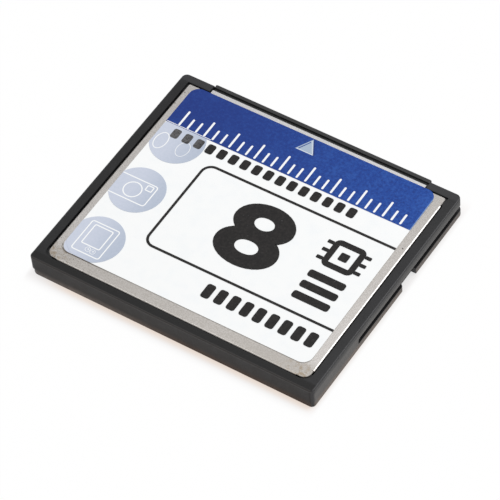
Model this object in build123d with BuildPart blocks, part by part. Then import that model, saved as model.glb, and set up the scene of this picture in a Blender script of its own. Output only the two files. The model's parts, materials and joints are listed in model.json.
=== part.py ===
from build123d import *
import os

os.makedirs("parts", exist_ok=True)

# Overall size of the card, in millimetres
card_width = 42.8
card_length = 36.4
card_height = 3.3

# Plastic frame, moulded as two halves that meet on top of the guide rails
rail_height = 1.0
socket_reach = 0.4
side_border = 1.35
back_border = 1.2
front_border = 1.2
back_corner_radius = 0.6
front_corner_radius = 0.8
lower_left_radius = 1.0
top_edge_radius = 0.2
bottom_edge_chamfer = 0.08
gusset_size = 1.5
board_gusset_size = 3.6
tongue_length = 4.0
tongue_width = 0.4
tongue_height = 0.4
tongue_clearance = 0.05

# Guide grooves and the notch in each lower rail, measured from the socket face
groove_depth = 0.76
groove_length = 25.78
right_groove_top = 1.92
left_groove_top = 2.44
groove_end_radius = 0.45
notch_start = 12.0
notch_length = 3.0
notch_corner_radius = 0.5

# Stainless covers, let into both faces
cover_recess = 0.1
cover_thickness = 0.2
cover_gap = 0.15
flange_step = 0.14
flange_depth = 0.8
bend_radius = 0.25
bend_land = 0.4
cover_edge_chamfer = 0.05
cover_back_radius = 1.1
cover_front_radius = 0.25
side_flange_back = 3.0
side_flange_front = 2.8
back_flange_inset = 3.3
cover_tongue_inset = 0.125
cover_tongue_reach = 0.67

# Socket block with two rows of contacts
corner_block_width = 4.775
socket_lip_depth = 0.6
socket_lip_chamfer = 0.12
socket_end_radius = 0.2
socket_depth = 5.2
socket_body_inset = 0.15
socket_cover_clearance = 0.08
socket_gap = 0.05
ear_reach = 1.35
ear_depth = 1.8
ear_setback = 0.1
contact_pitch = 1.27
socket_end_wall = 1.2
socket_hole = 0.7
socket_mouth_chamfer = 0.12

# Contact springs, stamped from strip
strip_thickness = 0.12
contact_width = 0.42
fork_gap = 0.36
fork_length = 3.0
fork_setback = 0.35
tail_run = 0.3
tail_slope = 0.6
foot_length = 1.0

# Circuit board and what is soldered to it
board_thickness = 0.6
board_clearance = 0.55
board_back_gap = 0.7
board_chamfer = 0.8
flash_body_height = 1.0
flash_standoff = 0.1
flash_edge_gap = 0.6
flash_back_gap = 0.8
flash_between = 0.9
flash_front_gap = 2.7
flash_draft = 8.0
lead_pitch = 0.5
lead_reach = 0.8
lead_width = 0.22
lead_thickness = 0.14
lead_foot = 0.5
pin_mark_radius = 0.5
pin_mark_depth = 0.1
pin_mark_inset = 1.4
pin_mark_sides = 12
chip_gap = 3.8
controller_height = 0.9
controller_edge_gap = 2.6
controller_front_gap = 4.2
part_rows = 3
capacitor_length = 1.6
capacitor_width = 0.8
capacitor_height = 0.8
capacitor_spacing = 2.6
capacitor_count = 5
resistor_length = 3.2
resistor_width = 1.6
resistor_height = 0.55
resistor_spacing = 4.6
resistor_count = 3
regulator_length = 2.9
regulator_width = 1.6
regulator_height = 1.1
regulator_legs = 3
regulator_leg_span = 2.8
regulator_leg_width = 0.4
regulator_leg_pitch = 0.95
film_thickness = 0.05
film_margin = 1.2
film_clearance = 0.3

# Printed label on the upper cover
label_side_margin = 1.38
label_back_margin = 1.95
label_front_margin = 0.62
label_shift = -0.13
label_corner_radius = 1.4
label_turn = 0.27
label_film = 0.06
label_ink = 0.04
band_length = 6.95
arrow_width = 2.75
arrow_length = 2.4
arrow_setback = 0.15
disc_count = 3
disc_radius = 3.78
disc_spacing = 9.45
disc_edge_distance = 3.32
disc_bottom_distance = 3.5
frame_line = 0.35
frame_line_left = 8.65
frame_line_top = 10.3
frame_line_bottom = 6.15
frame_line_radius = 1.3

# Places worked out from those sizes
half_width = card_width / 2
face_y = card_length / 2
back_y = -card_length / 2
front_y = face_y - socket_reach
window_x = half_width - side_border
window_back = back_y + back_border
window_front = front_y - front_border
groove_x = half_width - groove_depth
groove_end = face_y - groove_length
notch_front = face_y - notch_start
notch_back = notch_front - notch_length
socket_width = card_width - 2 * corner_block_width
contacts_per_row = int((socket_width - 2 * socket_end_wall) / contact_pitch) + 1
cover_top = card_height - cover_recess
cover_bottom = cover_top - cover_thickness
sheet_x = window_x - cover_gap - flange_step
sheet_back = window_back + cover_gap + flange_step
sheet_front = window_front - cover_gap
flange_x = window_x - cover_gap
flange_back = window_back + cover_gap
flange_low_y = back_y + side_flange_back
flange_high_y = front_y - side_flange_front
back_flange_half = half_width - back_flange_inset
slot_width = 2 * cover_gap + cover_thickness
row_low = (card_height - contact_pitch) / 2
row_high = (card_height + contact_pitch) / 2
socket_back = face_y - socket_depth
lip_back = face_y - socket_lip_depth
socket_opening = socket_width + 2 * socket_gap
board_bottom = rail_height
board_top = board_bottom + board_thickness
board_back = window_back + board_back_gap
board_front = socket_back - tail_run - tail_slope
board_half = window_x - board_clearance
board_length = board_front - board_back
flash_width = (board_length - flash_back_gap - flash_between - flash_front_gap) / 2
controller_size = flash_width
flash_span = 2 * board_half - flash_edge_gap - chip_gap - controller_size - controller_edge_gap
flash_length = flash_span - 2 * lead_reach
leads_per_end = round(flash_width / lead_pitch)
overcut = 1.0
close_by = 0.01


def frame_outline(back_left_radius):
    """Outer outline of the frame, from its back edge to the corner blocks beside the socket."""
    with BuildSketch() as outline:
        with Locations((0, (back_y + front_y) / 2)):
            Rectangle(card_width, front_y - back_y)
        fillet(outline.vertices().group_by(Axis.Y)[0].sort_by(Axis.X)[0], back_left_radius)
        fillet(outline.vertices().group_by(Axis.Y)[0].sort_by(Axis.X)[-1], back_corner_radius)
        fillet(outline.vertices().group_by(Axis.Y)[-1], front_corner_radius)
    return outline.sketch


def inner_opening(gusset):
    """The frame's opening, with a gusset across each corner to carry what lies on it."""
    with BuildSketch() as opening:
        with Locations((0, (window_back + window_front) / 2)):
            Rectangle(2 * window_x, window_front - window_back)
        chamfer(opening.vertices(), gusset)
    return opening.sketch


def cover_pocket():
    """The pocket that a cover lies in, at full window size."""
    with BuildSketch() as pocket:
        with Locations((0, (window_back + window_front) / 2)):
            Rectangle(2 * window_x, window_front - window_back)
        fillet(pocket.vertices().group_by(Axis.Y)[0], cover_back_radius + cover_gap)
    return pocket.sketch


def socket_cutaway():
    """The gap between the corner blocks, where the socket block looks out."""
    with BuildSketch() as gap:
        with Locations((0, (window_front + front_y) / 2)):
            Rectangle(socket_opening, front_border + 2 * overcut)
    return gap.sketch


def flange_slots():
    """Room beside the walls for the bent-down edges of a cover."""
    with BuildSketch() as slots:
        for side in (-1, 1):
            with Locations((side * (window_x - slot_width / 2), (flange_low_y + flange_high_y) / 2)):
                Rectangle(slot_width, flange_high_y - flange_low_y + 2 * cover_gap)
        with Locations((0, window_back + slot_width / 2)):
            Rectangle(2 * (back_flange_half + cover_gap), slot_width)
    return slots.sketch


def weld_tongues(clearance):
    """Tongues that line up the two halves: two in the back wall, one in each corner block."""
    wall_x = window_x - board_gusset_size - tongue_length
    block_x = (socket_opening / 2 + half_width) / 2
    with BuildSketch() as tongues:
        with Locations((-wall_x, back_y + back_border / 2), (wall_x, back_y + back_border / 2)):
            Rectangle(tongue_length + 2 * clearance, tongue_width + 2 * clearance)
        with Locations((-block_x, front_y - front_border / 2), (block_x, front_y - front_border / 2)):
            Rectangle(tongue_length / 2 + 2 * clearance, tongue_width + 2 * clearance)
    return tongues.sketch


# Lower half of the frame, with the guide rails
with BuildPart() as bottom_frame:
    add(frame_outline(lower_left_radius))
    extrude(amount=rail_height)
    chamfer(bottom_frame.faces().sort_by(Axis.Z)[0].edges(), bottom_edge_chamfer)
    add(inner_opening(board_gusset_size))
    extrude(amount=rail_height, mode=Mode.SUBTRACT)
    add(cover_pocket())
    extrude(amount=cover_recess + cover_thickness, mode=Mode.SUBTRACT)
    add(socket_cutaway())
    extrude(amount=rail_height, mode=Mode.SUBTRACT)
    add(flange_slots())
    extrude(amount=rail_height, mode=Mode.SUBTRACT)
    with BuildSketch() as rail_notches:
        for side in (-1, 1):
            with Locations((side * (groove_x + groove_depth), (notch_front + notch_back) / 2)):
                Rectangle(2 * groove_depth, notch_length)
    extrude(amount=rail_height, mode=Mode.SUBTRACT)
    notch_corners = (
        bottom_frame.edges()
        .filter_by(Axis.Z)
        .filter_by_position(Axis.Y, notch_back - close_by, notch_back + close_by)
        .filter_by(lambda edge: abs(edge.center().X) > groove_x + groove_depth / 2)
    )
    fillet(notch_corners, notch_corner_radius)
    with BuildSketch(Plane.XY.offset(rail_height)):
        add(weld_tongues(0))
    extrude(amount=tongue_height)

bottom_frame.part.label = "bottom_frame"
export_step(bottom_frame.part, "parts/bottom_frame.step")

# Upper half of the frame, with the groove roofs and the border round the upper cover
with BuildPart() as top_frame:
    with BuildSketch(Plane.XY.offset(rail_height)):
        add(frame_outline(back_corner_radius))
    extrude(amount=card_height - rail_height)
    fillet(top_frame.faces().sort_by(Axis.Z)[-1].edges(), top_edge_radius)
    with BuildSketch(Plane.XY.offset(rail_height)):
        add(inner_opening(gusset_size))
    extrude(amount=card_height - rail_height, mode=Mode.SUBTRACT)
    with BuildSketch(Plane.XY.offset(cover_bottom)):
        add(cover_pocket())
    extrude(amount=cover_recess + cover_thickness, mode=Mode.SUBTRACT)
    with BuildSketch(Plane.XY.offset(rail_height)):
        add(socket_cutaway())
    extrude(amount=card_height - rail_height, mode=Mode.SUBTRACT)
    for side, groove_top in ((1, right_groove_top), (-1, left_groove_top)):
        with BuildSketch(Plane.YZ.offset(side * groove_x)) as groove:
            with Locations(((groove_end + face_y) / 2, (rail_height + groove_top) / 2)):
                Rectangle(groove_length, groove_top - rail_height)
            fillet(groove.vertices().group_by(Axis.X)[0].sort_by(Axis.Y)[-1], groove_end_radius)
        extrude(amount=side * (groove_depth + overcut), mode=Mode.SUBTRACT)
    with BuildSketch(Plane.XY.offset(rail_height)):
        add(weld_tongues(tongue_clearance))
    extrude(amount=tongue_height + tongue_clearance, mode=Mode.SUBTRACT)

top_frame.part.label = "top_frame"
export_step(top_frame.part, "parts/top_frame.step")

# Upper cover: a flat sheet whose straight sides are bent down inside the frame


def on_sheet_rim(edge):
    """True for the free edges of the sheet, and not where a bent side joins it."""
    middle = edge.center()
    free_side = abs(middle.X) > sheet_x - cover_back_radius and abs(middle.Y) > flange_high_y
    free_front = middle.Y > sheet_front - cover_front_radius
    free_corner = edge.geom_type == GeomType.CIRCLE
    free_back = abs(middle.Y - sheet_back) < cover_edge_chamfer
    return free_side or free_front or free_corner or free_back


with BuildPart() as top_cover:
    with BuildSketch(Plane.XY.offset(cover_bottom)) as sheet:
        with Locations((0, (sheet_back + sheet_front) / 2)):
            Rectangle(2 * sheet_x, sheet_front - sheet_back)
        fillet(sheet.vertices().group_by(Axis.Y)[0], cover_back_radius)
        fillet(sheet.vertices().group_by(Axis.Y)[-1], cover_front_radius)
        with Locations((0, sheet_front)):
            Rectangle(socket_width - 2 * cover_tongue_inset, 2 * cover_tongue_reach)
        for side in (-1, 1):
            with Locations((side * sheet_x, (flange_low_y + flange_high_y) / 2)):
                Rectangle(2 * (bend_land - flange_step), flange_high_y - flange_low_y, mode=Mode.SUBTRACT)
        with Locations((0, sheet_back)):
            Rectangle(2 * back_flange_half, 2 * (bend_land - flange_step), mode=Mode.SUBTRACT)
    extrude(amount=cover_thickness)
    chamfer(top_cover.faces().sort_by(Axis.Z)[-1].edges().filter_by(on_sheet_rim), cover_edge_chamfer)
    for side in (-1, 1):
        with BuildSketch(Plane.XZ.offset(-flange_high_y)) as bend:
            with Locations((side * (flange_x - bend_land / 2), cover_top - cover_thickness / 2)):
                Rectangle(bend_land, cover_thickness)
            with Locations((side * (flange_x - cover_thickness / 2), cover_top - flange_depth / 2)):
                Rectangle(cover_thickness, flange_depth)
            outer = bend.vertices().group_by(Axis.Y)[-1].sort_by(Axis.X)
            fillet(outer[-1] if side > 0 else outer[0], bend_radius)
        extrude(amount=flange_high_y - flange_low_y)
    with BuildSketch(Plane.YZ.offset(-back_flange_half)) as back_bend:
        with Locations((flange_back + bend_land / 2, cover_top - cover_thickness / 2)):
            Rectangle(bend_land, cover_thickness)
        with Locations((flange_back + cover_thickness / 2, cover_top - flange_depth / 2)):
            Rectangle(cover_thickness, flange_depth)
        fillet(back_bend.vertices().group_by(Axis.Y)[-1].sort_by(Axis.X)[0], bend_radius)
    extrude(amount=2 * back_flange_half)

top_cover.part.label = "top_cover"
export_step(top_cover.part, "parts/top_cover.step")

# Lower cover: the same pressing, turned over
with BuildPart() as bottom_cover:
    mirror(top_cover.part, about=Plane.XY.offset(card_height / 2))

bottom_cover.part.label = "bottom_cover"
export_step(bottom_cover.part, "parts/bottom_cover.step")

# Socket block: body behind the covers, raised lip at the face, ears behind the corner blocks
body_low = cover_recess + cover_thickness + socket_cover_clearance
body_high = card_height - body_low

with BuildPart() as socket_block:
    with BuildSketch(Plane.XZ.offset(-face_y)) as lip:
        with Locations((0, card_height / 2)):
            Rectangle(socket_width, card_height - 2 * cover_recess)
        fillet(lip.vertices(), socket_end_radius)
    extrude(amount=socket_lip_depth)
    chamfer(socket_block.faces().sort_by(Axis.Y)[-1].edges(), socket_lip_chamfer)
    with BuildSketch(Plane.XZ.offset(-lip_back)):
        with Locations((0, card_height / 2)):
            Rectangle(socket_width - 2 * socket_body_inset, body_high - body_low)
    extrude(amount=socket_depth - socket_lip_depth)
    with BuildSketch(Plane.XY.offset(rail_height)) as ears:
        with Locations((0, window_front - ear_setback - ear_depth / 2)):
            Rectangle(socket_width + 2 * (ear_reach - socket_body_inset), ear_depth)
    extrude(amount=body_high - rail_height)
    with BuildSketch(Plane.XZ.offset(-face_y)):
        with Locations((0, card_height / 2)):
            with GridLocations(contact_pitch, contact_pitch, contacts_per_row, 2):
                Rectangle(socket_hole, socket_hole)
    extrude(amount=socket_depth, mode=Mode.SUBTRACT)
    mouths = [wire.edges() for wire in socket_block.faces().sort_by(Axis.Y)[-1].inner_wires()]
    chamfer(mouths, socket_mouth_chamfer)

socket_block.part.label = "socket_block"
export_step(socket_block.part, "parts/socket_block.step")

# Contact springs: a fork for the pin, a stem through the block and a foot on the board
stem_half = strip_thickness / 2
fork_half = fork_gap / 2 + strip_thickness
fork_tip = face_y - fork_setback
fork_back = fork_tip - fork_length
bend_start = socket_back - tail_run
foot_start = bend_start - tail_slope
foot_end = foot_start - foot_length

with BuildPart() as upper_contact:
    with BuildSketch(Plane.YZ) as upper_blank:
        with BuildLine():
            Polyline(
                (fork_tip, row_high + fork_half),
                (fork_tip, row_high + fork_gap / 2),
                (fork_back, row_high + fork_gap / 2),
                (fork_back, row_high - fork_gap / 2),
                (fork_tip, row_high - fork_gap / 2),
                (fork_tip, row_high - fork_half),
                (fork_back, row_high - fork_half),
                (bend_start, row_high - stem_half),
                (foot_start, board_top),
                (foot_end, board_top),
                (foot_end, board_top + strip_thickness),
                (foot_start - stem_half, board_top + strip_thickness),
                (bend_start - stem_half, row_high + stem_half),
                (fork_back, row_high + fork_half),
                close=True,
            )
        make_face()
    extrude(amount=contact_width / 2, both=True)

with BuildPart() as contacts_upper_row:
    with GridLocations(contact_pitch, contact_pitch, contacts_per_row, 1):
        add(upper_contact.part)

contacts_upper_row.part.label = "contacts_upper_row"
export_step(contacts_upper_row.part, "parts/contacts_upper_row.step")

with BuildPart() as lower_contact:
    with BuildSketch(Plane.YZ) as lower_blank:
        with BuildLine():
            Polyline(
                (fork_tip, row_low + fork_half),
                (fork_tip, row_low + fork_gap / 2),
                (fork_back, row_low + fork_gap / 2),
                (fork_back, row_low - fork_gap / 2),
                (fork_tip, row_low - fork_gap / 2),
                (fork_tip, row_low - fork_half),
                (fork_back, row_low - fork_half),
                (bend_start, row_low - stem_half),
                (foot_start, board_bottom - strip_thickness),
                (foot_end, board_bottom - strip_thickness),
                (foot_end, board_bottom),
                (foot_start, board_bottom),
                (bend_start, row_low + stem_half),
                (fork_back, row_low + fork_half),
                close=True,
            )
        make_face()
    extrude(amount=contact_width / 2, both=True)

with BuildPart() as contacts_lower_row:
    with GridLocations(contact_pitch, contact_pitch, contacts_per_row, 1):
        add(lower_contact.part)

contacts_lower_row.part.label = "contacts_lower_row"
export_step(contacts_lower_row.part, "parts/contacts_lower_row.step")

# Circuit board, lying on the corner gussets of the lower frame
with BuildPart() as circuit_board:
    with BuildSketch(Plane.XY.offset(board_bottom)) as board:
        with Locations((0, (board_back + board_front) / 2)):
            Rectangle(2 * board_half, board_front - board_back)
        chamfer(board.vertices(), board_chamfer)
    extrude(amount=board_thickness)

circuit_board.part.label = "circuit_board"
export_step(circuit_board.part, "parts/circuit_board.step")

# Flash chips: moulded bodies with drafted sides and a dimple beside the first lead
flash_x = -board_half + flash_edge_gap + flash_span / 2
flash_low_y = board_back + flash_back_gap + flash_width / 2
flash_high_y = flash_low_y + flash_width + flash_between
flash_bottom = board_top + flash_standoff
flash_middle = flash_bottom + flash_body_height / 2


def flash_body(center_y):
    """Moulded body of one chip, widest at its lead frame and drawn in above and below."""
    with BuildPart() as body:
        with BuildSketch(Plane.XY.offset(flash_middle)):
            with Locations((flash_x, center_y)):
                Rectangle(flash_length, flash_width)
        extrude(amount=flash_body_height / 2, taper=flash_draft)
        with BuildSketch(Plane.XY.offset(flash_middle)):
            with Locations((flash_x, center_y)):
                Rectangle(flash_length, flash_width)
        extrude(amount=-flash_body_height / 2, taper=flash_draft)
        with BuildSketch(Plane.XY.offset(flash_bottom + flash_body_height)):
            mark_x = flash_x - flash_length / 2 + pin_mark_inset
            with Locations((mark_x, center_y + flash_width / 2 - pin_mark_inset)):
                RegularPolygon(pin_mark_radius, pin_mark_sides)
        extrude(amount=-pin_mark_depth, mode=Mode.SUBTRACT)
    return body.part


def flash_leads(center_y):
    """Both rows of leads of one chip, bent down from the lead frame to the board."""
    with BuildPart() as one_lead:
        with BuildSketch(Plane.XZ) as bent:
            with BuildLine():
                Polyline(
                    (flash_length / 2, flash_middle + lead_thickness / 2),
                    (flash_length / 2, flash_middle - lead_thickness / 2),
                    (flash_span / 2 - lead_foot, board_top),
                    (flash_span / 2, board_top),
                    (flash_span / 2, board_top + lead_thickness),
                    (flash_span / 2 - lead_foot + lead_thickness, board_top + lead_thickness),
                    close=True,
                )
            make_face()
        extrude(amount=lead_width / 2, both=True)
    with BuildPart() as leads:
        with Locations((flash_x, center_y)):
            with GridLocations(lead_pitch, lead_pitch, 1, leads_per_end):
                add(one_lead.part)
                add(one_lead.part.rotate(Axis.Z, 180))
    return leads.part


with BuildPart() as flash_chip_back:
    add(flash_body(flash_low_y))

flash_chip_back.part.label = "flash_chip_back"
export_step(flash_chip_back.part, "parts/flash_chip_back.step")

with BuildPart() as flash_chip_front:
    add(flash_body(flash_high_y))

flash_chip_front.part.label = "flash_chip_front"
export_step(flash_chip_front.part, "parts/flash_chip_front.step")

with BuildPart() as flash_leads_back:
    add(flash_leads(flash_low_y))

flash_leads_back.part.label = "flash_leads_back"
export_step(flash_leads_back.part, "parts/flash_leads_back.step")

with BuildPart() as flash_leads_front:
    add(flash_leads(flash_high_y))

flash_leads_front.part.label = "flash_leads_front"
export_step(flash_leads_front.part, "parts/flash_leads_front.step")

# Controller: a leadless package, soldered by the lands under it
controller_x = board_half - controller_edge_gap - controller_size / 2
controller_y = board_front - controller_front_gap - controller_size / 2
with BuildPart() as controller_chip:
    with BuildSketch(Plane.XY.offset(board_top)) as package:
        with Locations((controller_x, controller_y)):
            Rectangle(controller_size, controller_size)
    extrude(amount=controller_height)
    with BuildSketch(Plane.XY.offset(board_top + controller_height)):
        mark = controller_size / 2 - pin_mark_inset
        with Locations((controller_x - mark, controller_y + mark)):
            RegularPolygon(pin_mark_radius, pin_mark_sides)
    extrude(amount=-pin_mark_depth, mode=Mode.SUBTRACT)

controller_chip.part.label = "controller_chip"
export_step(controller_chip.part, "parts/controller_chip.step")

# Small parts behind the controller
row_gap = (controller_y - controller_size / 2 - board_back) / (part_rows + 1)
capacitor_row_y = board_back + part_rows * row_gap
resistor_row_y = capacitor_row_y - row_gap
regulator_row_y = resistor_row_y - row_gap
with BuildPart() as capacitors:
    with BuildSketch(Plane.XY.offset(board_top)):
        with Locations((controller_x, capacitor_row_y)):
            with GridLocations(capacitor_spacing, capacitor_spacing, capacitor_count, 1):
                Rectangle(capacitor_width, capacitor_length)
    extrude(amount=capacitor_height)

capacitors.part.label = "capacitors"
export_step(capacitors.part, "parts/capacitors.step")

with BuildPart() as resistor_arrays:
    with BuildSketch(Plane.XY.offset(board_top)):
        with Locations((controller_x, resistor_row_y)):
            with GridLocations(resistor_spacing, resistor_spacing, resistor_count, 1):
                Rectangle(resistor_length, resistor_width)
    extrude(amount=resistor_height)

resistor_arrays.part.label = "resistor_arrays"
export_step(resistor_arrays.part, "parts/resistor_arrays.step")

# Supply regulator, with its legs moulded in
with BuildPart() as supply_regulator:
    with BuildSketch(Plane.XY.offset(board_top + flash_standoff)):
        with Locations((controller_x, regulator_row_y)):
            Rectangle(regulator_length, regulator_width)
    extrude(amount=regulator_height - flash_standoff)
    with BuildSketch(Plane.XY.offset(board_top)):
        with Locations((controller_x, regulator_row_y)):
            with GridLocations(regulator_leg_pitch, regulator_leg_pitch, regulator_legs, 1):
                Rectangle(regulator_leg_width, regulator_leg_span)
    extrude(amount=flash_standoff + lead_thickness)

supply_regulator.part.label = "supply_regulator"
export_step(supply_regulator.part, "parts/supply_regulator.step")

# Insulating films inside the covers
film_half = flange_x - film_margin
film_back = flange_back + film_margin
film_front = board_front
film_chamfer = board_gusset_size - 2 * (cover_gap + film_margin) + film_clearance
with BuildPart() as upper_insulator:
    with BuildSketch(Plane.XY.offset(cover_bottom - film_thickness)) as film:
        with Locations((0, (film_back + film_front) / 2)):
            Rectangle(2 * film_half, film_front - film_back)
        chamfer(film.vertices(), film_chamfer)
    extrude(amount=film_thickness)

upper_insulator.part.label = "upper_insulator"
export_step(upper_insulator.part, "parts/upper_insulator.step")

with BuildPart() as lower_insulator:
    mirror(upper_insulator.part, about=Plane.XY.offset(card_height / 2))

lower_insulator.part.label = "lower_insulator"
export_step(lower_insulator.part, "parts/lower_insulator.step")

# Label: a film with rounded corners, stuck on a little askew, and its printed fields
label_width = 2 * (window_x - label_side_margin)
label_start_y = window_back + label_back_margin
label_end_y = sheet_front + cover_tongue_reach - label_front_margin
label_length = label_end_y - label_start_y
label_centre = (label_shift, (label_start_y + label_end_y) / 2, cover_top)
label_plane = Plane(origin=label_centre, z_dir=(0, 0, 1)).rotated((0, 0, label_turn))
ink_plane = label_plane.offset(label_film)
label_left = -label_width / 2
label_low = -label_length / 2
label_high = label_length / 2
band_low = label_high - band_length
arrow_tip = label_high - arrow_setback


def label_outline():
    """Outline of the label, about its own centre."""
    with BuildSketch() as outline:
        RectangleRounded(label_width, label_length, label_corner_radius)
    return outline.sketch


def arrow_outline():
    """The triangle that points to the socket end."""
    with BuildSketch() as outline:
        with BuildLine():
            Polyline(
                (0, arrow_tip),
                (-arrow_width / 2, arrow_tip - arrow_length),
                (arrow_width / 2, arrow_tip - arrow_length),
                close=True,
            )
        make_face()
    return outline.sketch


def band_field():
    """Everything of the label above the lower edge of the coloured band."""
    with BuildSketch() as field:
        with Locations((0, band_low + band_length)):
            Rectangle(2 * label_width, 2 * band_length)
    return field.sketch


with BuildPart() as label_sheet:
    with BuildSketch(label_plane):
        add(label_outline())
    extrude(amount=label_film)

label_sheet.part.label = "label_sheet"
export_step(label_sheet.part, "parts/label_sheet.step")

with BuildPart() as label_band:
    with BuildSketch(ink_plane):
        add(label_outline())
        add(band_field(), mode=Mode.INTERSECT)
        add(arrow_outline(), mode=Mode.SUBTRACT)
    extrude(amount=label_ink)

label_band.part.label = "label_band"
export_step(label_band.part, "parts/label_band.step")

with BuildPart() as label_arrow:
    with BuildSketch(ink_plane):
        add(arrow_outline())
    extrude(amount=label_ink)

label_arrow.part.label = "label_arrow"
export_step(label_arrow.part, "parts/label_arrow.step")

with BuildPart() as label_discs:
    with BuildSketch(ink_plane):
        for step in range(disc_count):
            disc_y = label_low + disc_bottom_distance + step * disc_spacing
            with Locations((label_left + disc_edge_distance, disc_y)):
                Circle(disc_radius)
        add(label_outline(), mode=Mode.INTERSECT)
        add(band_field(), mode=Mode.SUBTRACT)
    extrude(amount=label_ink)

label_discs.part.label = "label_discs"
export_step(label_discs.part, "parts/label_discs.step")

# The printed line round the middle of the label, open at the right-hand edge
line_left = label_left + frame_line_left
line_high = label_high - frame_line_top
line_low = label_low + frame_line_bottom
with BuildPart() as label_line:
    with BuildSketch(ink_plane) as line:
        with Locations((line_left + label_width, (line_high + line_low) / 2)):
            RectangleRounded(2 * label_width, line_high - line_low, frame_line_radius)
        offset(line.faces()[0], amount=-frame_line, mode=Mode.SUBTRACT)
        add(label_outline(), mode=Mode.INTERSECT)
    extrude(amount=label_ink)

label_line.part.label = "label_line"
export_step(label_line.part, "parts/label_line.step")
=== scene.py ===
import json
import math
import bpy
import numpy as np
from mathutils import Matrix, Vector


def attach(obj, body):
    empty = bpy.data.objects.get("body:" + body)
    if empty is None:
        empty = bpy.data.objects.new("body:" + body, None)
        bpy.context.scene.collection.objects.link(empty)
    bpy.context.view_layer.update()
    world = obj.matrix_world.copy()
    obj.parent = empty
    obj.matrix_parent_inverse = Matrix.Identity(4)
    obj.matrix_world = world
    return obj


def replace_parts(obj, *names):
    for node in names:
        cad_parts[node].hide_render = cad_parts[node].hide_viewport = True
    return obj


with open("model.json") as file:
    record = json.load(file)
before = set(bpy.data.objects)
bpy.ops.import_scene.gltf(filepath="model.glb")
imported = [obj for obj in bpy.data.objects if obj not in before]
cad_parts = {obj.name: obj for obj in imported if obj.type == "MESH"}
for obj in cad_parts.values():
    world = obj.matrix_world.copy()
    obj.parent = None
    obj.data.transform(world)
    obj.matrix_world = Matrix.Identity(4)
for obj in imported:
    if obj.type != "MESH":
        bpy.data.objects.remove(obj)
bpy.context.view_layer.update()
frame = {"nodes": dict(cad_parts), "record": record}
nodes = frame["nodes"]
mm = 0.001
print("card frame loaded,", len(nodes), "pieces")


class Wire:
    # one output socket, with the sums that masks and patterns are written in
    def __init__(self, finish, socket):
        self.finish, self.socket = finish, socket

    def maths(self, operation, other=0.0, swapped=False):
        pair = [other, self] if swapped else [self, other]
        return self.finish.node("ShaderNodeMath", {"operation": operation}, dict(enumerate(pair)))

    def __add__(self, other): return self.maths("ADD", other)
    def __radd__(self, other): return self.maths("ADD", other, True)
    def __sub__(self, other): return self.maths("SUBTRACT", other)
    def __rsub__(self, other): return self.maths("SUBTRACT", other, True)
    def __mul__(self, other): return self.maths("MULTIPLY", other)
    def __rmul__(self, other): return self.maths("MULTIPLY", other, True)
    def __pow__(self, other): return self.maths("POWER", other)
    def __abs__(self): return self.maths("ABSOLUTE")

    def over(self, low, high):
        # 0 below low and 1 above high, eased in between; high < low turns it round
        return self.finish.node("ShaderNodeMapRange", {"interpolation_type": "SMOOTHSTEP"},
                                {"Value": self, "From Min": low, "From Max": high})

    def within(self, low, high, soft):
        # 1 between low and high, eased to 0 over soft on both sides of each
        return self.over(low - soft, low + soft) * self.over(high + soft, high - soft)


class Finish:
    # one material: a Principled shader, the place on the card in mm, and helpers that add nodes
    def __init__(self, name):
        self.material = bpy.data.materials.new(name)
        self.material.use_nodes = True
        self.tree = self.material.node_tree
        self.shader = self.tree.nodes["Principled BSDF"]
        coords = self.node("ShaderNodeTexCoord", out="Object")
        self.place = self.node("ShaderNodeVectorMath", {"operation": "SCALE"}, {0: coords, "Scale": 1 / mm})
        self.x, self.y, self.z = (self.node("ShaderNodeSeparateXYZ", None, {0: self.place}, axis)
                                  for axis in "XYZ")

    def node(self, kind, settings=None, values=None, out=0):
        made = self.tree.nodes.new(kind)
        for key, value in (settings or {}).items():
            setattr(made, key, value)
        for key, value in (values or {}).items():
            self.join(made.inputs[key], value)
        return Wire(self, made.outputs[out])

    def join(self, socket, value):
        if isinstance(value, Wire):
            self.tree.links.new(value.socket, socket)
        elif isinstance(value, (tuple, list)) and socket.type == "RGBA":
            socket.default_value = (*value[:3], 1.0)
        else:
            socket.default_value = value

    def noise(self, scale, detail=2.0, stretch=None, roughness=0.5):
        # cloudy noise, 0 to 1; scale is in cells per mm, and stretch multiplies the place first
        where = self.place
        if stretch:
            where = self.node("ShaderNodeVectorMath", {"operation": "MULTIPLY"},
                              {0: self.place, 1: stretch})
        return self.node("ShaderNodeTexNoise", None,
                         {"Vector": where, "Scale": scale, "Detail": detail, "Roughness": roughness})

    def blend(self, factor, first, second):
        # the Mix node's sockets 0, 6 and 7 are its factor and two colours, and output 2 is the colour
        return self.node("ShaderNodeMix", {"data_type": "RGBA"}, {0: factor, 6: first, 7: second}, 2)

    def relief(self, height, depthMm):
        # bumps: the height, about 0 to 1, times a depth in mm
        return self.node("ShaderNodeBump", None,
                         {"Height": height, "Strength": 1.0, "Distance": depthMm * mm})

    def show(self, **sockets):
        # sets or links the shader's own sockets, whose names have an underscore for each space
        for key, value in sockets.items():
            self.join(self.shader.inputs[key.replace("_", " ")], value)
        return self.material


def srgb(red, green, blue):
    # a colour read in 0..255 steps, as the linear numbers that shaders take
    steps = np.array((red, green, blue)) / 255.0
    return tuple(np.where(steps <= 0.04045, steps / 12.92, ((steps + 0.055) / 1.055) ** 2.4).tolist())


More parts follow.
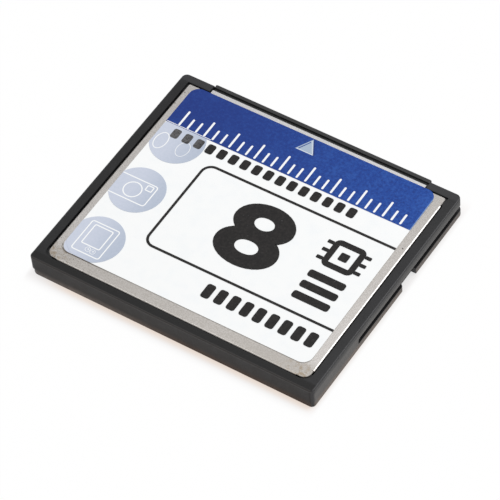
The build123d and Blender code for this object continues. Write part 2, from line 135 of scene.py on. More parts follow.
# finishes of the card's own pieces; the masks give the extent of each part of the card in mm
# besides dark and light, the frame's colours are painted light and shade: a lighter front, near-black painted
# shade, lighter roundings, painted floor reflection and brown painted floor light low down, and a darker back
# face
framePlastic = {"dark": srgb(27, 27, 28), "light": srgb(40, 40, 42), "front": srgb(54, 54, 56),
                "border": srgb(10, 9, 9), "roundingHighlight": srgb(66, 66, 68), "side": srgb(70, 68, 66),
                "backFace": srgb(13, 4, 3), "backEdgeLight": srgb(60, 57, 56), "sideFloorLight": srgb(134, 114, 98),
                "backFloorLightLeft": srgb(140, 130, 124), "backFloorLightRight": srgb(84, 56, 40),
                "grainPerMm": 9.0, "reliefMm": 0.008, "roughness": 0.4, "gloss": 0.31}


def makeFramePlastic():
    # moulded black plastic, greyer to the right and at the front, with painted shade, painted highlights and
    # painted floor light on its edges and faces
    f, look = Finish("framePlastic"), framePlastic
    grain = f.noise(look["grainPerMm"], 3.0)
    cloud = f.noise(0.5, 3.0)
    mottle = f.noise(5.0, 3.0, None, 0.7)
    frontBorder = f.y.over(16.4, 16.9)
    backBorder = f.y.over(-16.8, -17.2) * f.z.over(3.24, 3.29)
    backFace = f.y.over(-18.1, -18.19)
    backEdgeLight = f.y.over(-17.96, -18.06) * f.z.over(2.95, 3.1)
    sides = abs(f.x).over(21.34, 21.39)
    upperSides = sides * f.z.over(2.4, 2.7)
    lowerSides = sides * f.z.over(2.7, 2.3) * (0.95 - 0.45 * f.y.over(-2.0, 12.0))
    roundingHighlight = abs(f.x).over(21.16, 21.26) * f.z.over(3.12, 3.2)
    # painted light: the top is greyer to the right, with random clouds and mottle on top of that
    shade = f.x.over(-24.0, 24.0) * 0.7 + 0.3 * cloud.over(0.3, 0.7)
    shade = shade + 0.5 * (mottle.over(0.3, 0.7) - 0.5)
    colour = f.blend(shade, look["dark"], look["light"])
    # painted light: the front border is lighter
    colour = f.blend(frontBorder * 0.75, colour, look["front"])
    # painted shade on the top's back border
    colour = f.blend(backBorder * 0.8, colour, look["border"])
    # the back face is painted darker as painted shade, in patches of random tone
    patches = f.noise(0.9, 4.0, None, 0.6).over(0.45, 0.65)
    colour = f.blend(backFace, colour, f.blend(patches * 0.6, look["backFace"], look["dark"]))
    # painted light over the rounding at the top of the back face
    colour = f.blend(backEdgeLight * 0.8, colour, look["backEdgeLight"])
    # painted shade on the upper band of the sides, under their top rounding
    colour = f.blend(upperSides, colour, look["border"])
    # a painted highlight on the top rounding of the sides
    colour = f.blend(roundingHighlight * 0.9, colour, look["roundingHighlight"])
    # a painted reflection of the floor on the lower band of the sides, lighter towards the back
    colour = f.blend(lowerSides, colour, look["side"])
    # painted floor light, stronger towards the floor on the sides and the back face, and browner to the right
    # on the back face
    floorLight = f.z.over(1.3, 0.2) * (0.7 + 0.3 * f.noise(0.8).over(0.4, 0.6))
    floorLight = floorLight * (1.0 - 0.3 * f.y.over(0.0, 14.0))
    outside = abs(f.x).over(21.3, 21.39).maths("MAXIMUM", backFace)
    backFloorLight = f.blend(f.x.over(-16.0, 6.0), look["backFloorLightLeft"], look["backFloorLightRight"])
    colour = f.blend(floorLight * outside * 0.5, colour, f.blend(backFace, look["sideFloorLight"], backFloorLight))
    rough = look["roughness"] + 0.12 * (grain - 0.5) + 0.1 * (cloud - 0.5) + 0.08 * backFace
    return f.show(Base_Color=colour, Roughness=rough, Specular_IOR_Level=look["gloss"],
                  Normal=f.relief(grain + 0.5 * f.noise(3.0, 2.0), look["reliefMm"]))


# the cover's brightest colours are painted highlights, and its dark brown colour is both dirt and painted
# shade
coverSteel = {"base": srgb(214, 210, 207), "dull": srgb(182, 177, 171), "bendHighlight": srgb(226, 223, 221),
              "front": srgb(240, 241, 244), "stain": srgb(150, 128, 96), "speck": srgb(70, 62, 54),
              "dirtAndShade": srgb(74, 62, 50), "roughness": 0.33, "reliefMm": 0.003,
              "cornerRound": {"x": 18.82, "y": -15.77},          # centre of the plate's back corner arcs
              "labelRound": {"x": 17.27, "y": -13.65},           # centre of the label's back left corner
              "labelShift": 0.13, "labelSlope": 0.0047,          # the label's offset and turn on the plate
              "dots": [(19.2, 6.7, 0.11), (-19.6, 12.7, 0.1), (-19.5, 14.9, 0.09)]}   # x, y, radius in mm


def makeCoverSteel():
    # rolled steel sheet with a fine grain; dull strips, specks and dirty corners are on the upper cover alone
    f, look = Finish("coverSteel"), coverSteel
    streaks = f.noise(1.0, 4.0, (1.5, 6.0, 1.0), 0.65)
    fine = f.noise(6.0, 3.0, None, 0.7)
    cloud = f.noise(0.35, 3.0)
    upper = f.z.over(1.5, 1.8)
    backStrip = (0.4 + 0.3 * f.x.over(6.0, 15.0)) * f.y.over(-14.0, -15.6)
    rightStrip = 0.2 * f.x.over(14.0, 18.0) * f.y.over(-8.0, 2.0)
    dull = 0.15 * streaks.over(0.35, 0.65) + 0.45 * fine.over(0.38, 0.62) + (backStrip + rightStrip) * upper
    colour = f.blend(dull, look["base"], look["dull"])
    # a painted highlight on the bend along the right side, with a painted shade line at its foot
    bend = f.x.over(19.56, 19.76) * f.y.over(15.1, 14.98) * f.y.over(-15.3, -15.18)
    colour = f.blend(bend, colour, look["bendHighlight"])
    colour = f.blend(bend * f.x.over(19.78, 19.88) * 0.7, colour, look["dirtAndShade"])
    # a painted highlight along the plate's front end
    colour = f.blend(f.y.over(16.35, 16.6) * upper * 0.5, colour, look["front"])
    corners = f.y.over(-14.0, -16.0) * abs(f.x + 0.6).over(15.0, 18.6) * upper
    stains = corners * f.noise(1.5, 4.0, None, 0.6).over(0.46, 0.62)
    colour = f.blend(stains * 0.55, colour, look["stain"])
    # a painted highlight on the edge round the plate's two back corners
    cornerX, cornerY = look["cornerRound"]["x"], look["cornerRound"]["y"]
    arc = ((abs(f.x) - cornerX) ** 2.0 + (f.y - cornerY) ** 2.0).over(0.8, 1.0)
    arc = arc * abs(f.x).over(cornerX, 19.1) * f.y.over(-15.8, -16.1) * upper
    colour = f.blend(arc * 0.6, colour, look["front"])
    # fine dark specks, thickest at the back left corner and along the left side
    wornCorner = 0.5 * f.x.over(-8.0, -18.0) * f.y.over(-8.0, -14.0)
    worn = (0.25 + 0.25 * f.x.over(-12.0, -19.0) + wornCorner) * upper
    specks = f.noise(5.0, 2.0, None, 0.8).over(0.57, 0.66) * worn
    colour = f.blend(specks * 0.75, colour, look["speck"])
    scratches = f.noise(2.5, 3.0, (1.0, 2.6, 1.0), 0.7).within(0.49, 0.505, 0.008)
    scratches = scratches * f.noise(0.6).over(0.5, 0.6)
    scratched = f.x.over(-8.0, -16.0) * f.y.over(-12.0, -14.5) * upper
    colour = f.blend(scratches * scratched * 0.6, colour, look["speck"])
    # dirt and painted shadow against the label's back edge and round its back left corner, fading to the
    # right
    along = f.y - look["labelSlope"] * f.x
    beside = along.within(-15.19, -15.03, 0.06) * f.x.over(-17.5, -17.3) * f.x.over(17.4, 16.8)
    reach = abs(f.x + look["labelShift"]) - look["labelRound"]["x"]
    ring = (reach ** 2.0 + (along - look["labelRound"]["y"]) ** 2.0).within(1.9, 2.5, 0.2)
    ring = ring * reach.over(-0.1, 0.1) * along.over(-13.8, -14.4)
    dirtAndShade = (beside + ring) * (0.25 + 0.6 * f.x.over(-9.0, -15.0))
    dirtAndShade = dirtAndShade * f.noise(1.6, 3.0).over(0.2, 0.5) * upper
    colour = f.blend(dirtAndShade * 0.85, colour, look["dirtAndShade"])
    for x, y, radius in look["dots"]:
        away = (f.x - x) ** 2.0 + (f.y - y) ** 2.0
        spot = away.over(radius * radius * 1.6, radius * radius * 0.3)
        colour = f.blend(spot * upper * 0.85, colour, look["speck"])
    rough = look["roughness"] + 0.12 * (streaks - 0.5) + 0.08 * (cloud - 0.5) + 0.2 * specks
    return f.show(Base_Color=colour, Metallic=1.0, Roughness=rough,
                  Normal=f.relief(fine + 0.6 * streaks, look["reliefMm"]))


socketPlastic = {"dark": srgb(31, 31, 32), "light": srgb(42, 42, 42), "grainPerMm": 9.0,
                 "roughness": 0.4, "reliefMm": 0.008}


def makeSocketPlastic():
    # moulded plastic with faint flow clouds across the block
    f, look = Finish("socketPlastic"), socketPlastic
    grain = f.noise(look["grainPerMm"], 3.0)
    cloud = f.noise(0.6, 2.0, (0.4, 1.0, 1.0))
    return f.show(Base_Color=f.blend(cloud.over(0.3, 0.7), look["dark"], look["light"]),
                  Roughness=look["roughness"] + 0.15 * (grain - 0.5),
                  Normal=f.relief(grain, look["reliefMm"]))


contactGold = {"base": srgb(226, 184, 96), "dull": srgb(200, 156, 72), "roughness": 0.3}
leadTin = {"base": srgb(205, 206, 204), "dull": srgb(176, 177, 176), "roughness": 0.35}
stripMarks = {"perMm": 2.0, "stretch": (5.0, 1.0, 5.0), "reliefMm": 0.003}


def makeStripMetal(name, look):
    # plated strip, with rolling marks along its length
    f = Finish(name)
    marks = f.noise(stripMarks["perMm"], 3.0, stripMarks["stretch"])
    return f.show(Base_Color=f.blend(marks, look["base"], look["dull"]), Metallic=1.0,
                  Roughness=look["roughness"] + 0.2 * (marks - 0.5),
                  Normal=f.relief(marks, stripMarks["reliefMm"]))


boardLaminate = {"mask": srgb(18, 92, 56), "weave": srgb(26, 112, 68), "track": srgb(62, 138, 84),
                 "trackWidth": 0.09, "runLength": 5.1, "rowHeight": 0.62, "roughness": 0.28,
                 "reliefMm": 0.02}


def makeBoard():
    # green mask over glass weave, with straight copper runs on a staggered grid
    f, look = Finish("boardLaminate"), boardLaminate
    tracks = f.node("ShaderNodeTexBrick", {"offset": 0.5},
                    {"Vector": f.place, "Scale": 1.0, "Mortar Size": look["trackWidth"],
                     "Brick Width": look["runLength"], "Row Height": look["rowHeight"]}, 1)
    weave = f.noise(3.0, 2.0, (1.0, 6.0, 1.0)) * 0.5 + f.noise(3.0, 2.0, (6.0, 1.0, 1.0)) * 0.5
    colour = f.blend(tracks, f.blend(weave, look["mask"], look["weave"]), look["track"])
    return f.show(Base_Color=colour, Roughness=look["roughness"] + 0.1 * (weave - 0.5),
                  Normal=f.relief(tracks + 0.2 * weave, look["reliefMm"]))


chipMoulding = {"dark": srgb(22, 22, 23), "light": srgb(32, 32, 33), "grainPerMm": 14.0,
                "roughness": 0.55, "reliefMm": 0.01}


def makeChipMoulding():
    # matt moulding compound
    f, look = Finish("chipMoulding"), chipMoulding
    grain = f.noise(look["grainPerMm"], 3.0)
    return f.show(Base_Color=f.blend(f.noise(1.2, 2.0), look["dark"], look["light"]),
                  Roughness=look["roughness"] + 0.15 * (grain - 0.5),
                  Normal=f.relief(grain, look["reliefMm"]))


capacitorCeramic = {"body": srgb(176, 142, 104), "speck": srgb(196, 166, 128), "perMm": 6.0}
resistorCeramic = {"body": srgb(28, 28, 30), "speck": srgb(44, 44, 48), "perMm": 7.0}
ceramicSurface = {"roughness": 0.4, "reliefMm": 0.01}


def makeCeramic(name, look):
    # fired body with a fine speckle
    f = Finish(name)
    speck = f.noise(look["perMm"], 2.0)
    return f.show(Base_Color=f.blend(speck, look["body"], look["speck"]),
                  Roughness=ceramicSurface["roughness"] + 0.2 * (speck - 0.5),
                  Normal=f.relief(speck, ceramicSurface["reliefMm"]))


insulatingFilm = {"light": srgb(206, 150, 58), "dark": srgb(186, 128, 42),
                  "roughness": 0.25, "reliefMm": 0.02}


def makeInsulatingFilm():
    # amber film with soft waves
    f, look = Finish("insulatingFilm"), insulatingFilm
    cloud = f.noise(0.5, 2.0)
    return f.show(Base_Color=f.blend(cloud, look["light"], look["dark"]),
                  Roughness=look["roughness"] + 0.1 * (cloud - 0.5),
                  Normal=f.relief(cloud, look["reliefMm"]))


printGloss = 0.25   # specular level of the label's film and inks
labelPale = {"left": srgb(206, 212, 227), "right": srgb(183, 193, 210), "arrow": srgb(169, 185, 205),
             "roughness": 0.4, "reliefMm": 0.0015}   # the film's corner takes its left colour too
# the film's dark brown colour is grime with painted shade, for its cut edge
labelFilm = {"white": srgb(252, 253, 253), "shade": srgb(249, 251, 252), "grimeAndShade": srgb(116, 102, 84),
             "roughness": 0.38, "reliefMm": 0.002}


def makeLabelWhite():
    # white film with faint clouds, and grime with painted shade on its cut edge
    f, look = Finish("labelWhite"), labelFilm
    cloud = f.noise(0.7, 3.0)
    colour = f.blend(cloud.over(0.4, 0.75), look["white"], look["shade"])
    # the lowest disc's colour runs on into the label's back left corner, under the raised signs
    corner = f.x.over(-16.8, -17.2) * f.y.over(-12.4, -12.8) * f.z.over(3.29, 3.27)
    colour = f.blend(corner, colour, labelPale["left"])
    # grime and painted shade on the film's cut edge
    cutEdge = f.z.over(3.255, 3.225)
    colour = f.blend(cutEdge * 0.75, colour, look["grimeAndShade"])
    return f.show(Base_Color=colour, Roughness=look["roughness"] + 0.1 * (cloud - 0.5),
                  Normal=f.relief(f.noise(2.0, 2.0), look["reliefMm"]), Specular_IOR_Level=printGloss)


labelBlue = {"left": srgb(21, 52, 130), "right": srgb(24, 70, 155), "pale": srgb(44, 90, 172),
             "dark": srgb(18, 42, 112), "rim": srgb(120, 160, 216), "roughness": 0.4, "reliefMm": 0.002,
             "arrowNormal": (0.868, 0.497), "arrowPoint": (-0.205, 16.35)}   # the arrow's right side


def makeLabelBlue():
    # blue print, darker towards the label's left end, with soft patches and a faint mottle
    f, look = Finish("labelBlue"), labelBlue
    mottle = f.noise(2.4, 3.0, None, 0.65)
    patch = f.noise(0.45, 3.0)
    right = f.x.over(-16.0, 20.0)
    colour = f.blend(f.x.over(-20.0, 20.0), look["left"], look["right"])
    colour = f.blend(patch.over(0.45, 0.7) * (0.15 + 0.35 * right), colour, look["pale"])
    colour = f.blend(mottle.over(0.5, 0.64) * (0.15 + 0.45 * right), colour, look["pale"])
    colour = f.blend(mottle.over(0.5, 0.36) * (0.2 + 0.28 * right), colour, look["dark"])
    # a shadow printed beside the arrow's right side: its width is the distance from that side's line
    (normalX, normalY), (pointX, pointY) = look["arrowNormal"], look["arrowPoint"]
    beside = normalX * (f.x - pointX) + normalY * (f.y - pointY)
    colour = f.blend(beside.within(0.0, 0.16, 0.06) * f.y.within(13.9, 16.3, 0.1), colour, look["dark"])
    # the band's right end is worn pale
    colour = f.blend((f.x + coverSteel["labelSlope"] * f.y).over(18.4, 18.5) * 0.75, colour, look["rim"])
    return f.show(Base_Color=colour, Roughness=look["roughness"] + 0.12 * (mottle - 0.5),
                  Normal=f.relief(mottle, look["reliefMm"]), Specular_IOR_Level=printGloss)


def makeLabelPale():
    # pale blue print, darker towards the middle of the label and on the arrow
    f, look = Finish("labelPale"), labelPale
    mottle = f.noise(3.0, 3.0)
    shade = f.x.over(-17.2, -11.7) * 0.8 + 0.2 * mottle.over(0.3, 0.7)
    colour = f.blend(shade, look["left"], look["right"])
    colour = f.blend(f.y.over(12.5, 13.0), colour, look["arrow"])
    return f.show(Base_Color=colour, Roughness=look["roughness"] + 0.1 * (mottle - 0.5),
                  Normal=f.relief(mottle, look["reliefMm"]), Specular_IOR_Level=printGloss)


labelBlack = {"base": srgb(24, 22, 22), "other": srgb(40, 37, 36), "thin": srgb(104, 103, 105),
              "roughness": 0.45, "reliefMm": 0.0015}


def makeLabelBlack():
    # black print; the upper bars that cross the upper disc are printed thinner and look grey
    f, look = Finish("labelBlack"), labelBlack
    mottle = f.noise(3.5, 3.0)
    colour = f.blend(mottle.over(0.35, 0.75), look["base"], look["other"])
    colour = f.blend(f.noise(2.6, 2.0, None, 0.8).over(0.69, 0.75) * 0.5, colour, look["thin"])
    overDisc = f.x.over(-11.3, -13.5) * f.y.within(7.0, 9.45, 0.05)
    patchy = f.noise(4.0, 2.0, (1.0, 3.0, 1.0)).over(0.3, 0.55)
    colour = f.blend(overDisc * patchy * 0.85, colour, look["thin"])
    return f.show(Base_Color=colour, Roughness=look["roughness"] + 0.1 * (mottle - 0.5),
                  Normal=f.relief(mottle, look["reliefMm"]), Specular_IOR_Level=printGloss)


finishes = {
    "frame_plastic": makeFramePlastic(),
    "cover_steel": makeCoverSteel(),
    "socket_plastic": makeSocketPlastic(),
    "contact_metal": makeStripMetal("contactGold", contactGold),
    "board_laminate": makeBoard(),
    "chip_moulding": makeChipMoulding(),
    "lead_metal": makeStripMetal("leadTin", leadTin),
    "capacitor_ceramic": makeCeramic("capacitorCeramic", capacitorCeramic),
    "resistor_ceramic": makeCeramic("resistorCeramic", resistorCeramic),
    "insulating_film": makeInsulatingFilm(),
    "label_film": makeLabelWhite(),
    "label_blue": makeLabelBlue(),
    "label_pale": makeLabelPale(),
    "label_black": makeLabelBlack(),
}
slotOf = {part["node"]: part["material_slot"] for part in frame["record"]["subparts"]}
for name, piece in nodes.items():
    piece.data.materials.clear()
    piece.data.materials.append(finishes[slotOf[name]])
print("finishes made:", len(finishes))


# printed signs on the label, in mm; paper and ink are the heights of the film's and the print's faces
labelPlace = {"centre": (-0.13, 0.725), "turnDegrees": 0.27, "paper": 3.26, "ink": 3.3,
              "overPrint": 3.304, "overLine": 3.303}
paper, ink = labelPlace["paper"], labelPlace["ink"]
overPrint, overLine = labelPlace["overPrint"], labelPlace["overLine"]


def joined(shapes):
    # several closed shapes as one list of corners and faces
    corners, faces, start = [], [], 0
    for shapeCorners, shapeFaces in shapes:
        corners.append(shapeCorners)
        faces += [[start + index for index in face] for face in shapeFaces]
        start += len(shapeCorners)
    return np.concatenate(corners), faces


def printed(name, shapes, slot):
    # shapes are in mm on the card; they are turned about the label's centre and become one piece
    corners, faces = joined(shapes)
    turn = math.radians(labelPlace["turnDegrees"])
    centre = np.array(labelPlace["centre"])
    turned = (corners[:, :2] - centre) @ np.array([[math.cos(turn), math.sin(turn)],
                                                   [-math.sin(turn), math.cos(turn)]]) + centre
    corners = np.column_stack([turned, corners[:, 2]]) * mm
    mesh = bpy.data.meshes.new(name)
    mesh.from_pydata(corners.tolist(), [], faces)
    mesh.materials.append(finishes[slot])
    piece = bpy.data.objects.new(name, mesh)
    bpy.context.scene.collection.objects.link(piece)
    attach(piece, "root")
    return piece


def slab(outline, low, high):
    # a flat shape: its outline at two heights, joined by a wall and closed by a face at each end
    count = len(outline)
    corners = np.concatenate([np.column_stack([outline, np.full(count, z)]) for z in (low, high)])
    here = np.arange(count)
    there = (here + 1) % count
    wall = np.column_stack([here, there, there + count, here + count]).tolist()
    return corners, wall + [here[::-1].tolist(), (here + count).tolist()]


def unit(vectors):
    # each row divided by its own length
    return vectors / np.linalg.norm(vectors, axis=1, keepdims=True)


def stroke(path, width, low, high, closed=False):
    # a line of even width: each point of the path is moved left and right along its mitred normal, by half
    # the width divided by the cosine of half the turn there
    path = np.asarray(path, float)
    after = np.roll(path, -1, 0) - path
    before = path - np.roll(path, 1, 0)
    if not closed:
        after[-1], before[0] = before[-1], after[0]
    after, before = unit(after), unit(before)
    along = unit(after + before)
    side = np.column_stack([-along[:, 1], along[:, 0]])
    mitre = 1.0 / np.clip((along * after).sum(1), 0.5, 1.0)
    offset = side * (mitre * width / 2)[:, None]
    count = len(path)
    ring = [(offset, low), (offset, high), (-offset, high), (-offset, low)]
    corners = np.concatenate([np.column_stack([path + shift, np.full(count, z)]) for shift, z in ring])
    here = np.arange(count if closed else count - 1)
    there = (here + 1) % count
    faces = []
    for k in range(len(ring)):
        a, b = k * count, ((k + 1) % len(ring)) * count
        faces += np.column_stack([here + a, here + b, there + b, there + a]).tolist()
    if not closed:
        end = count - 1
        faces += [[0, 3 * count, 2 * count, count],
                  [end, end + count, end + 2 * count, end + 3 * count]]
    return corners, faces


def ringLine(outline, width):
    # a thin closed line on top of the label's print
    return stroke(outline, width, ink, overPrint, True)


def roundedBox(left, right, low, high, radius, steps):
    # a rectangle's outline, anticlockwise from its right side: in each corner a quarter circle of so
    # many points, about the point that lies a radius in from both of the corner's sides
    angle = np.linspace(0, math.pi / 2, steps)
    arcs = []
    for k, (x, y) in enumerate(((right - radius, high - radius), (left + radius, high - radius),
                                (left + radius, low + radius), (right - radius, low + radius))):
        arcs.append(np.column_stack([x + radius * np.cos(angle + k * math.pi / 2),
                                     y + radius * np.sin(angle + k * math.pi / 2)]))
    return np.concatenate(arcs)


def oval(x, y, width, height, count=40):
    # an ellipse's outline, anticlockwise from its right end: x + half the width times the cosine, and
    # y + half the height times the sine, of an evenly growing angle
    angle = np.linspace(0, 2 * math.pi, count, endpoint=False)
    return np.column_stack([x + width / 2 * np.cos(angle), y + height / 2 * np.sin(angle)])


def barRow(look, base):
    # a row of upright bars with round corners, evenly spaced
    half = look["width"] / 2
    return [slab(roundedBox(x - half, x + half, look["low"], look["high"], look["radius"], 4),
                 base, overPrint)
            for x in np.linspace(look["from"], look["to"], look["count"])]


# ticks in the blue band: each third one is tall, from the first on
bandTicks = {"from": -16.9, "to": 16.9, "count": 27, "low": 9.75, "tall": 2.7, "short": 1.8, "width": 0.3,
             "roundness": 0.98}
shapes = []
for index, x in enumerate(np.linspace(bandTicks["from"], bandTicks["to"], bandTicks["count"])):
    height = bandTicks["tall"] if index % 3 == 0 else bandTicks["short"]
    half = bandTicks["width"] / 2
    shapes.append(slab(roundedBox(x - half, x + half, bandTicks["low"], bandTicks["low"] + height,
                                  half * bandTicks["roundness"], 4), ink, overPrint))
printed("band_ticks", shapes, "label_film")

upperBars = {"from": -16.4, "to": 10.6, "count": 16, "low": 7.5, "high": 9.1, "width": 1.15,
             "radius": 0.3}
printed("upper_bars", barRow(upperBars, paper), "label_black")

lowerBars = {"from": 1.6, "to": 16.9, "count": 9, "low": -12.6, "high": -10.3, "width": 1.25,
             "radius": 0.35}
printed("lower_bars", barRow(lowerBars, paper), "label_black")

# a chip sign beside the numeral: a square ring with legs left and right and a filled core
chipSign = {"left": 11.7, "right": 15.5, "low": -0.3, "high": 3.5, "line": 0.85, "radius": 0.5,
            "legs": 3, "legLength": 0.9, "legHalf": 0.27, "legInset": 0.5, "legRadius": 0.1,
            "core": 1.3, "coreRadius": 0.2}
shapes = [stroke(roundedBox(chipSign["left"], chipSign["right"], chipSign["low"], chipSign["high"],
                            chipSign["radius"], 5), chipSign["line"], paper, overLine, True)]
legRows = np.linspace(chipSign["low"] + chipSign["legInset"], chipSign["high"] - chipSign["legInset"],
                      chipSign["legs"])
for y in legRows:
    for edge, away in ((chipSign["left"], -1), (chipSign["right"], 1)):
        inner = edge + away * chipSign["line"] / 2
        outer = edge + away * (chipSign["line"] / 2 + chipSign["legLength"])
        shapes.append(slab(roundedBox(min(inner, outer), max(inner, outer), y - chipSign["legHalf"],
                                      y + chipSign["legHalf"], chipSign["legRadius"], 3), paper, overLine))
coreX, coreY = (chipSign["left"] + chipSign["right"]) / 2, (chipSign["low"] + chipSign["high"]) / 2
coreHalf = chipSign["core"] / 2
shapes.append(slab(roundedBox(coreX - coreHalf, coreX + coreHalf, coreY - coreHalf, coreY + coreHalf,
                              chipSign["coreRadius"], 4), paper, overLine))
printed("chip_sign", shapes, "label_black")

# a stack of level bars below the chip sign
stackSign = {"left": 10.9, "right": 16.3, "low": -6.9, "pitch": 1.9, "thick": 1.15, "radius": 0.35,
             "count": 3}
shapes = []
for k in range(stackSign["count"]):
    y = stackSign["low"] + k * stackSign["pitch"]
    shapes.append(slab(roundedBox(stackSign["left"], stackSign["right"], y, y + stackSign["thick"],
                                  stackSign["radius"], 4), paper, overLine))
printed("stack_sign", shapes, "label_black")

# the line round the label's middle stands for the CAD's own, whose lower side is set a little too high
frameLine = {"left": -10.17, "right": 18.54, "high": 6.2, "low": -9.09, "radius": 1.58, "width": 0.36,
             "arcSteps": 10}
inset, steps = frameLine["width"] / 2, frameLine["arcSteps"]
arcs = roundedBox(frameLine["left"] + inset, frameLine["right"], frameLine["low"] + inset,
                  frameLine["high"] - inset, frameLine["radius"] - inset, steps)
ends = np.array([[frameLine["right"], frameLine["high"] - inset],
                 [frameLine["right"], frameLine["low"] + inset]])
framePath = np.concatenate([ends[:1], arcs[steps:3 * steps], ends[1:]])
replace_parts(printed("frame_line", [stroke(framePath, frameLine["width"], paper, ink)], "label_black"),
            "label_line")

# line signs on the discs, cut off at the label's left edge; boxes are given by left, right, low, high
# and corner radius, ovals by centre, width and height
signLine = {"width": 0.16, "oval": 0.12, "thin": 0.07, "ring": 0.06}
line = signLine["width"]
cameraSign = {"body": [(-18.74, -0.5), (-13.6, -0.5), (-13.35, -0.6), (-13.25, -0.85),
                       (-13.25, -3.72), (-13.35, -3.97), (-13.6, -4.07), (-18.74, -4.07)],
              "lens": (-16.08, -2.36, 2.48, 2.48), "flash": (-14.62, -13.72, -1.62, -0.8, 0.08)}
printed("camera_sign", [stroke(cameraSign["body"], line, ink, overPrint),
                        ringLine(oval(*cameraSign["lens"]), line),
                        ringLine(roundedBox(*cameraSign["flash"], 2), line)], "label_film")
handheldSign = {"case": (-17.6, -13.4, -14.2, -9.1, 0.3), "screen": (-16.9, -14.15, -12.85, -9.55, 0.15),
                "rings": [(-15.5, -13.42, 0.72, 0.72), (-14.72, -13.5, 0.72, 0.72)],
                "knobs": [(-15.45, -13.38, 0.22, 0.2), (-14.67, -13.46, 0.22, 0.2)]}
shapes = [ringLine(roundedBox(*handheldSign["case"], 4), line),
          ringLine(roundedBox(*handheldSign["screen"], 3), line)]
shapes += [ringLine(oval(*ring, 20), signLine["ring"]) for ring in handheldSign["rings"]]
shapes += [slab(oval(*knob, 10), ink, overPrint) for knob in handheldSign["knobs"]]
printed("handheld_sign", shapes, "label_film")
ovalSign = {"left": (-17.5, 6.42, 1.75, 2.85), "right": (-14.13, 6.48, 1.75, 2.5)}
printed("oval_sign", [ringLine(oval(*ovalSign["left"]), signLine["oval"]),
                      ringLine(oval(*ovalSign["right"]), signLine["thin"])], "label_film")

# a hair line along the blue band's lower edge over the upper disc
hairLine = {"from": -18.7, "to": -11.8, "y": 9.68, "width": 0.09}
hairPath = [(hairLine["from"], hairLine["y"]), (hairLine["to"], hairLine["y"])]
printed("hair_line", [stroke(hairPath, hairLine["width"], ink, overPrint)], "label_film")

# the arrow's bevelled edges: light lines inside its base and right side, a blue one inside its left side
arrowEdge = {"tip": (-0.13, 16.35), "base": 13.95, "light": 0.055, "blue": 0.13,
             "baseLeft": -1.2, "baseRight": 1.22, "baseInset": 0.08, "rightTop": (-0.06, -0.3),
             "blueLow": (-0.98, 0.2), "blueTop": (-0.05, -0.55)}
tipX, tipY = arrowEdge["tip"]
lineY = arrowEdge["base"] + arrowEdge["baseInset"]
rightEnd = (tipX + arrowEdge["baseRight"], lineY)
rightTop = (tipX + arrowEdge["rightTop"][0], tipY + arrowEdge["rightTop"][1])
blueLow = (tipX + arrowEdge["blueLow"][0], arrowEdge["base"] + arrowEdge["blueLow"][1])
blueTop = (tipX + arrowEdge["blueTop"][0], tipY + arrowEdge["blueTop"][1])
lightEdges = [stroke([(tipX + arrowEdge["baseLeft"], lineY), rightEnd], arrowEdge["light"], ink, overPrint),
              stroke([rightTop, rightEnd], arrowEdge["light"], ink, overPrint)]
printed("arrow_light_edges", lightEdges, "label_film")
printed("arrow_blue_edge", [stroke([blueLow, blueTop], arrowEdge["blue"], ink, overPrint)], "label_blue")

# the large plain numeral: Blender's own letter form, made a mesh and set on the label
numeral = {"text": "8", "x": 1.9, "y": -1.0, "width": 9.2, "height": 10.6, "weight": 0.03,
           "resolution": 8}
letter = bpy.data.curves.new("numeralForm", "FONT")
letter.body, letter.offset = numeral["text"], numeral["weight"]
letter.resolution_u = numeral["resolution"]
holder = bpy.data.objects.new("numeralForm", letter)
bpy.context.scene.collection.objects.link(holder)
bpy.context.view_layer.update()
flatMesh = bpy.data.meshes.new_from_object(holder.evaluated_get(bpy.context.evaluated_depsgraph_get()))
outline = np.zeros(len(flatMesh.vertices) * 3)
flatMesh.vertices.foreach_get("co", outline)
outline = outline.reshape(-1, 3)[:, :2]
low, high = outline.min(0), outline.max(0)
outline = (outline - (low + high) / 2) / (high - low) * (numeral["width"], numeral["height"])
outline += (numeral["x"], numeral["y"])
# the flat letter at two heights, with a wall on each edge that no face uses the other way round
count = len(outline)
corners = np.concatenate([np.column_stack([outline, np.full(count, z)]) for z in (paper, ink)])
faces = [list(polygon.vertices) for polygon in flatMesh.polygons]
edges = np.concatenate([np.column_stack([face, np.roll(face, -1)]) for face in faces])
start, stop = edges.T
start, stop = edges[~np.isin(start * count + stop, stop * count + start)].T
wall = np.column_stack([start, stop, stop + count, start + count]).tolist()
solid = [[index + count for index in face] for face in faces] + [face[::-1] for face in faces] + wall
printed("numeral", [(corners, solid)], "label_black")
bpy.data.objects.remove(holder)
bpy.data.meshes.remove(flatMesh)
print("label signs made")


# the paper under the card: its size and drop in m, and how far it is plain white near the card and away
# from it; fade, warmFade and cardHalf are in mm
stageLook = {"paper": srgb(255, 247, 245), "warm": (1.0, 0.87, 0.77), "roughness": 0.9, "size": 3.0,
             "drop": 0.00002, "clearNear": 0.68, "clearFar": 0.985, "fade": 2.0, "warmFade": 1.1,
             "cardHalf": (21.4, 18.2), "sideFaster": 2.5, "world": 0.56}
floorMesh = bpy.data.meshes.new("floor")
half = stageLook["size"] / 2
floorCorners = [(x, y, -stageLook["drop"])
                for x, y in ((-half, -half), (half, -half), (half, half), (-half, half))]
floorMesh.from_pydata(floorCorners, [], [(0, 1, 2, 3)])
floor = bpy.data.objects.new("floor", floorMesh)
bpy.context.scene.collection.objects.link(floor)
ground = Finish("floorPaper")
floorMesh.materials.append(ground.show(Base_Color=stageLook["paper"], Roughness=stageLook["roughness"]))
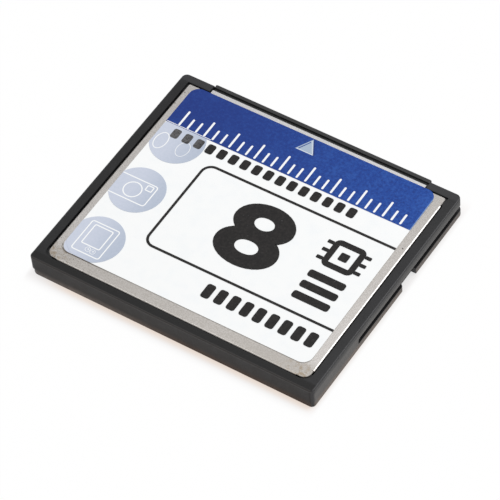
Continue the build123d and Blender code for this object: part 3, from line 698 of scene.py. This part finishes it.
# the card's own shadow stays on the paper close to it, and further away the paper is plain white
rays = (ground.node("ShaderNodeLightPath", out="Is Camera Ray")
        + ground.node("ShaderNodeLightPath", out="Is Glossy Ray")
        + ground.node("ShaderNodeLightPath", out="Is Transmission Ray"))
cardX, cardY = stageLook["cardHalf"]
beyondX = (abs(ground.x) - cardX).maths("MAXIMUM", 0.0) * stageLook["sideFaster"]
beyondY = (abs(ground.y) - cardY).maths("MAXIMUM", 0.0)
beyond = (beyondX ** 2.0 + beyondY ** 2.0) ** 0.5
clearGain = stageLook["clearFar"] - stageLook["clearNear"]
clear = stageLook["clearNear"] + clearGain * beyond.over(0.0, stageLook["fade"])
# the shadow is warm against the back face, and faintly so along the right side
behind = 0.75 * ground.y.over(-17.4, -cardY) * ground.x.over(cardX, 20.6)
beside = 0.25 * ground.y.over(2.0, -8.0)
tint = beyond.over(stageLook["warmFade"], 0.0) * (beside + behind) * ground.x.over(-cardX, -15.0)
glow = ground.node("ShaderNodeEmission", None,
                   {"Color": ground.blend(tint, (1.0, 1.0, 1.0), stageLook["warm"]), "Strength": 1.0})
paperShader = Wire(ground, ground.shader.outputs[0])
both = ground.node("ShaderNodeMixShader", None,
                   {0: (rays * clear).maths("MINIMUM", 1.0), 1: paperShader, 2: glow})
ground.join(ground.tree.nodes["Material Output"].inputs["Surface"], both)

world = bpy.data.worlds.new("studioWorld")
bpy.context.scene.world = world
world.use_nodes = True
world.node_tree.nodes["Background"].inputs["Color"].default_value = (1.0, 1.0, 1.0, 1.0)
world.node_tree.nodes["Background"].inputs["Strength"].default_value = stageLook["world"]

# soft lamps: place and size in m, and power in W
lamps = {
    "topBox": {"at": (-0.1, 0.05, 0.62), "aim": (0, 0, 0), "size": 0.5, "watts": 0.85},
    "backBox": {"at": (0.19, 0.31, 0.475), "aim": (0, 0, 0), "size": 0.4, "watts": 1.25},
}
for name, lamp in lamps.items():
    light = bpy.data.lights.new(name, "AREA")
    light.shape, light.size, light.energy = "SQUARE", lamp["size"], lamp["watts"]
    box = bpy.data.objects.new(name, light)
    box.location = lamp["at"]
    box.rotation_euler = (Vector(lamp["aim"]) - Vector(lamp["at"])).to_track_quat("-Z", "Y").to_euler()
    bpy.context.scene.collection.objects.link(box)

# angles in degrees, azimuth from -Y towards +X; distance and target in metres, lens and sensor in mm
cameraPlace = {"azimuth": 37.7750, "elevation": 51.1861, "roll": -6.0868, "distance": 0.4079382,
               "target": (0.0017894, -0.0021935, 0.00165), "lens": 230.406, "sensor": 36.0,
               "clipStart": 0.01, "clipEnd": 10.0}
azimuth, elevation, roll = (math.radians(cameraPlace[key]) for key in ("azimuth", "elevation", "roll"))
back = Vector((math.sin(azimuth) * math.cos(elevation), -math.cos(azimuth) * math.cos(elevation),
               math.sin(elevation)))
level = Vector((math.cos(azimuth), math.sin(azimuth), 0))
right = level * math.cos(roll) + back.cross(level) * math.sin(roll)
up = back.cross(right)
cameraData = bpy.data.cameras.new("camera")
cameraData.lens, cameraData.sensor_width = cameraPlace["lens"], cameraPlace["sensor"]
cameraData.clip_start, cameraData.clip_end = cameraPlace["clipStart"], cameraPlace["clipEnd"]
camera = bpy.data.objects.new("camera", cameraData)
bpy.context.scene.collection.objects.link(camera)
spot = Vector(cameraPlace["target"]) + back * cameraPlace["distance"]
camera.matrix_world = Matrix.Translation(spot) @ Matrix((right, up, back)).transposed().to_4x4()
bpy.context.scene.camera = camera
bpy.context.scene.view_settings.view_transform = "Standard"
print("stage, lamps and camera set")
